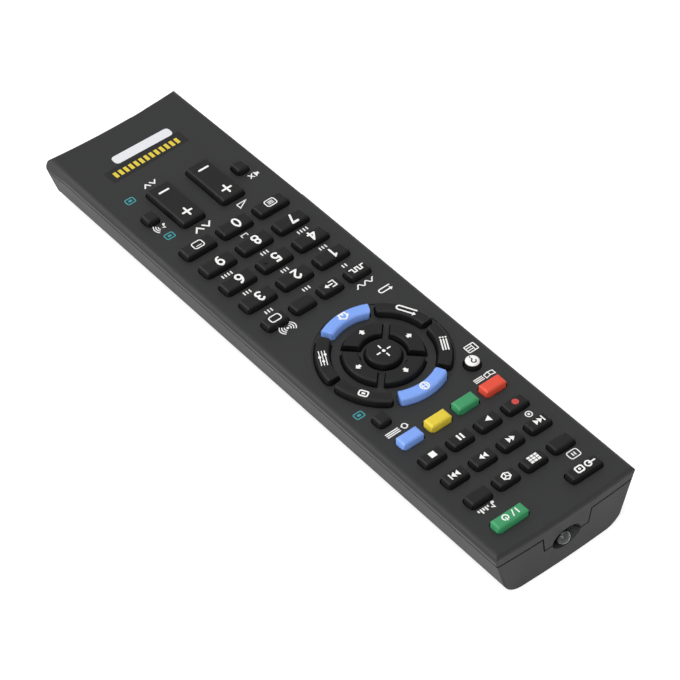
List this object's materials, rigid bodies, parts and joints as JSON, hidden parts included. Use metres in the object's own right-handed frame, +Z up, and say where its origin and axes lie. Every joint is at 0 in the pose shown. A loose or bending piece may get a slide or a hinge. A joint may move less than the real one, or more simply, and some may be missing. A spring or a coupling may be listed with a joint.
{
  "type": "universal remote control",
  "caption": "Slim hand-held infrared remote control with rubber keys, a round navigation pad, two rockers and a sliding battery cover.",
  "frame": {"origin": "middle of the flat underside, below the middle of the case", "axes": "+Y along the length to the emitter end, +X to the right when the remote is held upright, +Z up through the keys"},
  "size_m": [0.0518, 0.2023, 0.0211],
  "materials": {
    "case_plastic": "fine matt moulding texture",
    "mat_rubber": "matt silicone",
    "board": "lacquered board",
    "clear_resin": "clear resin",
    "cell_jacket": "plain printed jacket",
    "plated_steel": "nickel plated",
    "black_rubber": "satin silicone",
    "blue_rubber": "satin silicone",
    "green_rubber": "satin silicone",
    "red_rubber": "satin silicone",
    "yellow_rubber": "satin silicone"
  },
  "bodies": {
    "case": {"top_case": "case_plastic", "bottom_case": "case_plastic", "keypad_mat": "mat_rubber", "circuit_board": "board", "ir_led": "clear_resin", "batteries": "cell_jacket", "battery_springs": "plated_steel", "battery_contacts": "plated_steel"},
    "cover": {"battery_cover": "case_plastic"},
    "key_source_body": {"key_source": "black_rubber"},
    "key_power_body": {"key_power": "green_rubber"},
    "key_blank_far_body": {"key_blank_far": "black_rubber"},
    "key_grid_body": {"key_grid": "black_rubber"},
    "key_depth_body": {"key_depth": "black_rubber"},
    "key_blank_near_body": {"key_blank_near": "black_rubber"},
    "key_previous_body": {"key_previous": "black_rubber"},
    "key_rewind_body": {"key_rewind": "black_rubber"},
    "key_forward_body": {"key_forward": "black_rubber"},
    "key_next_body": {"key_next": "black_rubber"},
    "key_record_body": {"key_record": "black_rubber"},
    "key_play_body": {"key_play": "black_rubber"},
    "key_pause_body": {"key_pause": "black_rubber"},
    "key_stop_body": {"key_stop": "black_rubber"},
    "key_red_body": {"key_red": "red_rubber"},
    "key_green_body": {"key_green": "green_rubber"},
    "key_yellow_body": {"key_yellow": "yellow_rubber"},
    "key_blue_body": {"key_blue": "blue_rubber"},
    "key_help_body": {"key_help": "black_rubber"},
    "key_wide_body": {"key_wide": "black_rubber"},
    "key_centre_body": {"key_centre": "black_rubber"},
    "key_up_body": {"key_up": "black_rubber"},
    "key_down_body": {"key_down": "black_rubber"},
    "key_left_body": {"key_left": "black_rubber"},
    "key_right_body": {"key_right": "black_rubber"},
    "key_ring_top_body": {"key_ring_top": "blue_rubber"},
    "key_ring_upper_right_body": {"key_ring_upper_right": "black_rubber"},
    "key_ring_lower_right_body": {"key_ring_lower_right": "black_rubber"},
    "key_ring_bottom_body": {"key_ring_bottom": "blue_rubber"},
    "key_ring_lower_left_body": {"key_ring_lower_left": "black_rubber"},
    "key_ring_upper_left_body": {"key_ring_upper_left": "black_rubber"},
    "key_mode_a_body": {"key_mode_a": "black_rubber"},
    "key_mode_b_body": {"key_mode_b": "black_rubber"},
    "key_mode_c_body": {"key_mode_c": "black_rubber"},
    "key_mode_d_body": {"key_mode_d": "black_rubber"},
    "key_1_body": {"key_1": "black_rubber"},
    "key_2_body": {"key_2": "black_rubber"},
    "key_3_body": {"key_3": "black_rubber"},
    "key_4_body": {"key_4": "black_rubber"},
    "key_5_body": {"key_5": "black_rubber"},
    "key_6_body": {"key_6": "black_rubber"},
    "key_7_body": {"key_7": "black_rubber"},
    "key_8_body": {"key_8": "black_rubber"},
    "key_9_body": {"key_9": "black_rubber"},
    "key_text_body": {"key_text": "black_rubber"},
    "key_0_body": {"key_0": "black_rubber"},
    "key_screen_body": {"key_screen": "black_rubber"},
    "key_mute_body": {"key_mute": "black_rubber"},
    "key_sound_body": {"key_sound": "black_rubber"},
    "rocker_volume_body": {"rocker_volume": "black_rubber"},
    "rocker_channel_body": {"rocker_channel": "black_rubber"}
  },
  "joints": [
    {"name": "cover_slide", "type": "slide", "parent": "case", "child": "cover", "axis": [0, -1, 0], "range_m": [0, 0.068]},
    {"name": "rocker_volume_tilt", "type": "hinge", "parent": "case", "child": "rocker_volume_body", "pos_m": [-0.00745, -0.0603, 0.01675], "axis": [1, 0, 0], "range_deg": [-3.4, 3.4], "stiffness_Nm_per_rad": 0.02},
    {"name": "rocker_channel_tilt", "type": "hinge", "parent": "case", "child": "rocker_channel_body", "pos_m": [0.00745, -0.0603, 0.01675], "axis": [1, 0, 0], "range_deg": [-3.4, 3.4], "stiffness_Nm_per_rad": 0.02},
    {"name": "key_source_press", "type": "slide", "parent": "case", "child": "key_source_body", "axis": [0, 0, -1], "range_m": [0, 0.001], "stiffness_N_per_m": 500, "springref_m": -0.0004},
    {"name": "key_power_press", "type": "slide", "parent": "case", "child": "key_power_body", "axis": [0, 0, -1], "range_m": [0, 0.001], "stiffness_N_per_m": 500, "springref_m": -0.0004},
    {"name": "key_blank_far_press", "type": "slide", "parent": "case", "child": "key_blank_far_body", "axis": [0, 0, -1], "range_m": [0, 0.001], "stiffness_N_per_m": 500, "springref_m": -0.0004},
    {"name": "key_grid_press", "type": "slide", "parent": "case", "child": "key_grid_body", "axis": [0, 0, -1], "range_m": [0, 0.001], "stiffness_N_per_m": 500, "springref_m": -0.0004},
    {"name": "key_depth_press", "type": "slide", "parent": "case", "child": "key_depth_body", "axis": [0, 0, -1], "range_m": [0, 0.001], "stiffness_N_per_m": 500, "springref_m": -0.0004},
    {"name": "key_blank_near_press", "type": "slide", "parent": "case", "child": "key_blank_near_body", "axis": [0, 0, -1], "range_m": [0, 0.001], "stiffness_N_per_m": 500, "springref_m": -0.0004},
    {"name": "key_previous_press", "type": "slide", "parent": "case", "child": "key_previous_body", "axis": [0, 0, -1], "range_m": [0, 0.001], "stiffness_N_per_m": 500, "springref_m": -0.0004},
    {"name": "key_rewind_press", "type": "slide", "parent": "case", "child": "key_rewind_body", "axis": [0, 0, -1], "range_m": [0, 0.001], "stiffness_N_per_m": 500, "springref_m": -0.0004},
    {"name": "key_forward_press", "type": "slide", "parent": "case", "child": "key_forward_body", "axis": [0, 0, -1], "range_m": [0, 0.001], "stiffness_N_per_m": 500, "springref_m": -0.0004},
    {"name": "key_next_press", "type": "slide", "parent": "case", "child": "key_next_body", "axis": [0, 0, -1], "range_m": [0, 0.001], "stiffness_N_per_m": 500, "springref_m": -0.0004},
    {"name": "key_record_press", "type": "slide", "parent": "case", "child": "key_record_body", "axis": [0, 0, -1], "range_m": [0, 0.001], "stiffness_N_per_m": 500, "springref_m": -0.0004},
    {"name": "key_play_press", "type": "slide", "parent": "case", "child": "key_play_body", "axis": [0, 0, -1], "range_m": [0, 0.001], "stiffness_N_per_m": 500, "springref_m": -0.0004},
    {"name": "key_pause_press", "type": "slide", "parent": "case", "child": "key_pause_body", "axis": [0, 0, -1], "range_m": [0, 0.001], "stiffness_N_per_m": 500, "springref_m": -0.0004},
    {"name": "key_stop_press", "type": "slide", "parent": "case", "child": "key_stop_body", "axis": [0, 0, -1], "range_m": [0, 0.001], "stiffness_N_per_m": 500, "springref_m": -0.0004},
    {"name": "key_red_press", "type": "slide", "parent": "case", "child": "key_red_body", "axis": [0, 0, -1], "range_m": [0, 0.001], "stiffness_N_per_m": 500, "springref_m": -0.0004},
    {"name": "key_green_press", "type": "slide", "parent": "case", "child": "key_green_body", "axis": [0, 0, -1], "range_m": [0, 0.001], "stiffness_N_per_m": 500, "springref_m": -0.0004},
    {"name": "key_yellow_press", "type": "slide", "parent": "case", "child": "key_yellow_body", "axis": [0, 0, -1], "range_m": [0, 0.001], "stiffness_N_per_m": 500, "springref_m": -0.0004},
    {"name": "key_blue_press", "type": "slide", "parent": "case", "child": "key_blue_body", "axis": [0, 0, -1], "range_m": [0, 0.001], "stiffness_N_per_m": 500, "springref_m": -0.0004},
    {"name": "key_help_press", "type": "slide", "parent": "case", "child": "key_help_body", "axis": [0, 0, -1], "range_m": [0, 0.001], "stiffness_N_per_m": 500, "springref_m": -0.0004},
    {"name": "key_wide_press", "type": "slide", "parent": "case", "child": "key_wide_body", "axis": [0, 0, -1], "range_m": [0, 0.001], "stiffness_N_per_m": 500, "springref_m": -0.0004},
    {"name": "key_centre_press", "type": "slide", "parent": "case", "child": "key_centre_body", "axis": [0, 0, -1], "range_m": [0, 0.001], "stiffness_N_per_m": 500, "springref_m": -0.0004},
    {"name": "key_up_press", "type": "slide", "parent": "case", "child": "key_up_body", "axis": [0, 0, -1], "range_m": [0, 0.001], "stiffness_N_per_m": 500, "springref_m": -0.0004},
    {"name": "key_down_press", "type": "slide", "parent": "case", "child": "key_down_body", "axis": [0, 0, -1], "range_m": [0, 0.001], "stiffness_N_per_m": 500, "springref_m": -0.0004},
    {"name": "key_left_press", "type": "slide", "parent": "case", "child": "key_left_body", "axis": [0, 0, -1], "range_m": [0, 0.001], "stiffness_N_per_m": 500, "springref_m": -0.0004},
    {"name": "key_right_press", "type": "slide", "parent": "case", "child": "key_right_body", "axis": [0, 0, -1], "range_m": [0, 0.001], "stiffness_N_per_m": 500, "springref_m": -0.0004},
    {"name": "key_ring_top_press", "type": "slide", "parent": "case", "child": "key_ring_top_body", "axis": [0, 0, -1], "range_m": [0, 0.001], "stiffness_N_per_m": 500, "springref_m": -0.0004},
    {"name": "key_ring_upper_right_press", "type": "slide", "parent": "case", "child": "key_ring_upper_right_body", "axis": [0, 0, -1], "range_m": [0, 0.001], "stiffness_N_per_m": 500, "springref_m": -0.0004},
    {"name": "key_ring_lower_right_press", "type": "slide", "parent": "case", "child": "key_ring_lower_right_body", "axis": [0, 0, -1], "range_m": [0, 0.001], "stiffness_N_per_m": 500, "springref_m": -0.0004},
    {"name": "key_ring_bottom_press", "type": "slide", "parent": "case", "child": "key_ring_bottom_body", "axis": [0, 0, -1], "range_m": [0, 0.001], "stiffness_N_per_m": 500, "springref_m": -0.0004},
    {"name": "key_ring_lower_left_press", "type": "slide", "parent": "case", "child": "key_ring_lower_left_body", "axis": [0, 0, -1], "range_m": [0, 0.001], "stiffness_N_per_m": 500, "springref_m": -0.0004},
    {"name": "key_ring_upper_left_press", "type": "slide", "parent": "case", "child": "key_ring_upper_left_body", "axis": [0, 0, -1], "range_m": [0, 0.001], "stiffness_N_per_m": 500, "springref_m": -0.0004},
    {"name": "key_mode_a_press", "type": "slide", "parent": "case", "child": "key_mode_a_body", "axis": [0, 0, -1], "range_m": [0, 0.001], "stiffness_N_per_m": 500, "springref_m": -0.0004},
    {"name": "key_mode_b_press", "type": "slide", "parent": "case", "child": "key_mode_b_body", "axis": [0, 0, -1], "range_m": [0, 0.001], "stiffness_N_per_m": 500, "springref_m": -0.0004},
    {"name": "key_mode_c_press", "type": "slide", "parent": "case", "child": "key_mode_c_body", "axis": [0, 0, -1], "range_m": [0, 0.001], "stiffness_N_per_m": 500, "springref_m": -0.0004},
    {"name": "key_mode_d_press", "type": "slide", "parent": "case", "child": "key_mode_d_body", "axis": [0, 0, -1], "range_m": [0, 0.001], "stiffness_N_per_m": 500, "springref_m": -0.0004},
    {"name": "key_1_press", "type": "slide", "parent": "case", "child": "key_1_body", "axis": [0, 0, -1], "range_m": [0, 0.001], "stiffness_N_per_m": 500, "springref_m": -0.0004},
    {"name": "key_2_press", "type": "slide", "parent": "case", "child": "key_2_body", "axis": [0, 0, -1], "range_m": [0, 0.001], "stiffness_N_per_m": 500, "springref_m": -0.0004},
    {"name": "key_3_press", "type": "slide", "parent": "case", "child": "key_3_body", "axis": [0, 0, -1], "range_m": [0, 0.001], "stiffness_N_per_m": 500, "springref_m": -0.0004},
    {"name": "key_4_press", "type": "slide", "parent": "case", "child": "key_4_body", "axis": [0, 0, -1], "range_m": [0, 0.001], "stiffness_N_per_m": 500, "springref_m": -0.0004},
    {"name": "key_5_press", "type": "slide", "parent": "case", "child": "key_5_body", "axis": [0, 0, -1], "range_m": [0, 0.001], "stiffness_N_per_m": 500, "springref_m": -0.0004},
    {"name": "key_6_press", "type": "slide", "parent": "case", "child": "key_6_body", "axis": [0, 0, -1], "range_m": [0, 0.001], "stiffness_N_per_m": 500, "springref_m": -0.0004},
    {"name": "key_7_press", "type": "slide", "parent": "case", "child": "key_7_body", "axis": [0, 0, -1], "range_m": [0, 0.001], "stiffness_N_per_m": 500, "springref_m": -0.0004},
    {"name": "key_8_press", "type": "slide", "parent": "case", "child": "key_8_body", "axis": [0, 0, -1], "range_m": [0, 0.001], "stiffness_N_per_m": 500, "springref_m": -0.0004},
    {"name": "key_9_press", "type": "slide", "parent": "case", "child": "key_9_body", "axis": [0, 0, -1], "range_m": [0, 0.001], "stiffness_N_per_m": 500, "springref_m": -0.0004},
    {"name": "key_text_press", "type": "slide", "parent": "case", "child": "key_text_body", "axis": [0, 0, -1], "range_m": [0, 0.001], "stiffness_N_per_m": 500, "springref_m": -0.0004},
    {"name": "key_0_press", "type": "slide", "parent": "case", "child": "key_0_body", "axis": [0, 0, -1], "range_m": [0, 0.001], "stiffness_N_per_m": 500, "springref_m": -0.0004},
    {"name": "key_screen_press", "type": "slide", "parent": "case", "child": "key_screen_body", "axis": [0, 0, -1], "range_m": [0, 0.001], "stiffness_N_per_m": 500, "springref_m": -0.0004},
    {"name": "key_mute_press", "type": "slide", "parent": "case", "child": "key_mute_body", "axis": [0, 0, -1], "range_m": [0, 0.001], "stiffness_N_per_m": 500, "springref_m": -0.0004},
    {"name": "key_sound_press", "type": "slide", "parent": "case", "child": "key_sound_body", "axis": [0, 0, -1], "range_m": [0, 0.001], "stiffness_N_per_m": 500, "springref_m": -0.0004}
  ]
}
